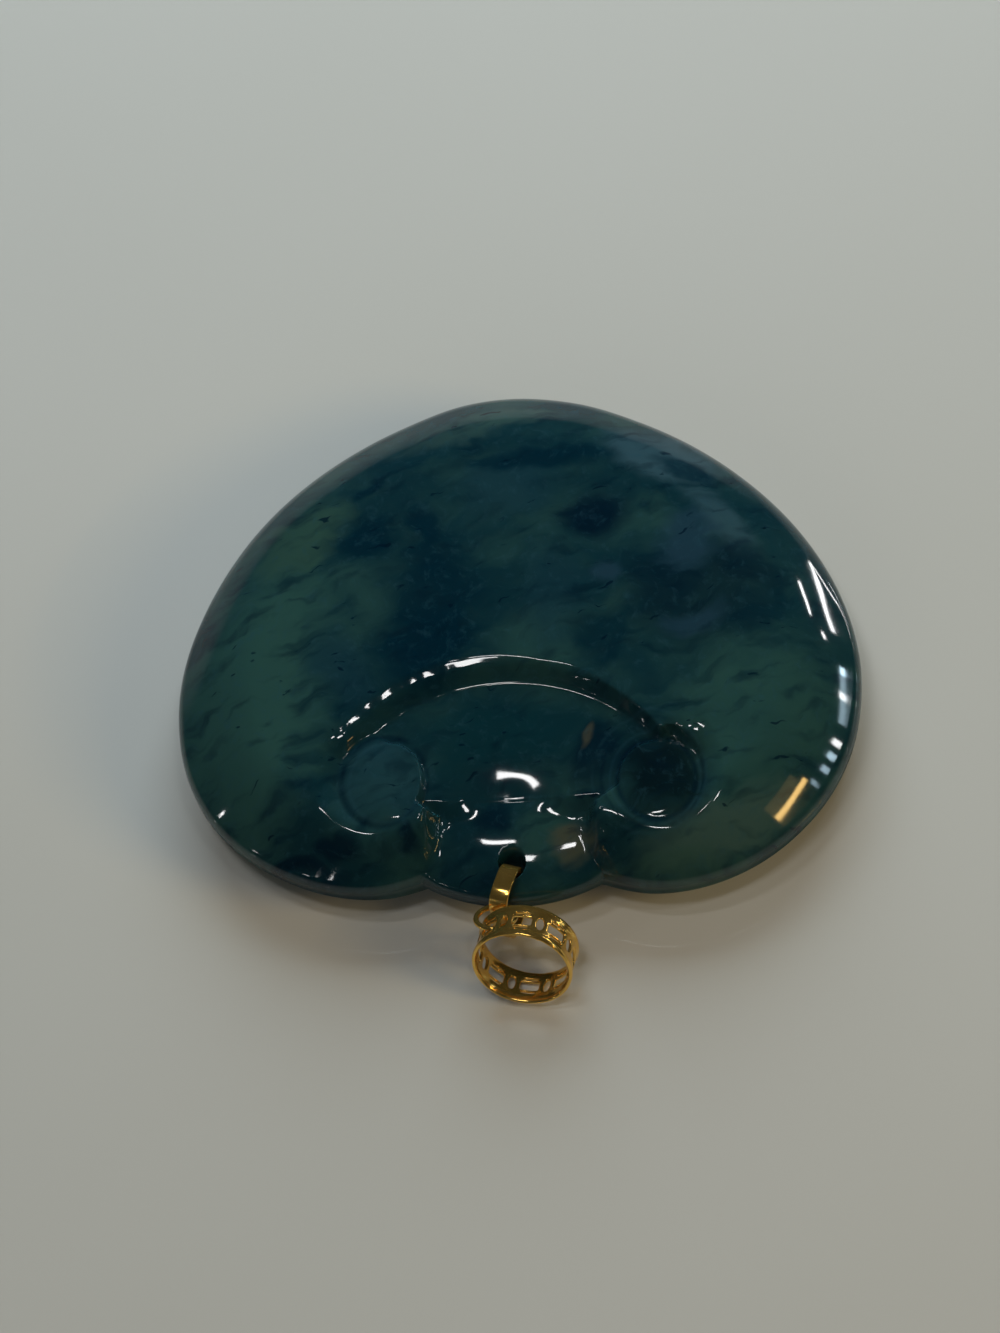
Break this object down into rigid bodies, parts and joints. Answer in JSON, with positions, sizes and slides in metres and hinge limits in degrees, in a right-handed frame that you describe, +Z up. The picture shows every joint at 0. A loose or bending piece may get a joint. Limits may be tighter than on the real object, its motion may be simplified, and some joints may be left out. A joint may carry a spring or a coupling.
{
  "type": "jade pendant",
  "caption": "Carved jade cloud-head pendant lying on its flat back, with a flat gold strip link and a jump ring joining it to a pierced gold ring bail that takes a chain or cord.",
  "frame": {"origin": "on the flat back of the jade head, under the middle of its plan", "axes": "+Z up out of the carved front, +Y towards the rounded tip of the head, +X across it to the right as seen from the front; the bail ring lies towards -Y"},
  "size_m": [0.04, 0.0386, 0.0081],
  "materials": {
    "jade": "polished",
    "gold": "polished"
  },
  "bodies": {
    "root": {"jade_head": "jade", "strip_link": "gold", "jump_ring": "gold", "bail_ring": "gold"}
  },
  "joints": []
}
